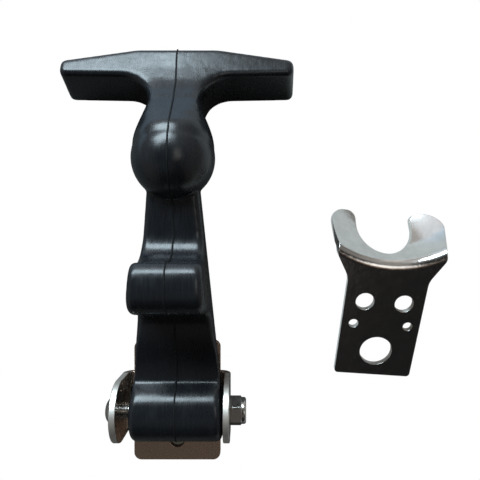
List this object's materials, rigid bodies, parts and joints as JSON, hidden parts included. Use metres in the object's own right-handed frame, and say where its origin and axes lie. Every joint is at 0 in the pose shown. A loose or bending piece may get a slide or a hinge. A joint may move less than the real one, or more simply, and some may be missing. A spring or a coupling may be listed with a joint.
{
  "type": "rubber t draw latch",
  "caption": "One-piece moulded rubber T-handle draw latch strap turning on a screw in a folded stainless bracket, with its cupped forked keeper.",
  "frame": {"origin": "centre of the bracket's mounting face, under the pivot", "axes": "+Z away from the mounting face, +Y along the strap towards the T handle, +X along the pivot towards the lock nut"},
  "size_m": [0.1495, 0.1632, 0.0483],
  "materials": {
    "black_rubber": "satin moulded",
    "stainless_sheet": "tumbled satin",
    "stainless_fastener": "satin",
    "nut_insert": "matte"
  },
  "bodies": {
    "base": {"base_bracket": "stainless_sheet", "pivot_screw": "stainless_fastener", "lock_nut": "stainless_fastener", "nut_insert": "nut_insert", "keeper": "stainless_sheet"},
    "strap": {"rubber_t_handle": "black_rubber"}
  },
  "joints": [
    {"name": "strap_pivot", "type": "hinge", "parent": "base", "child": "strap", "pos_m": [0, 0, 0.0145], "axis": [1, 0, 0], "range_deg": [0, 158]}
  ]
}
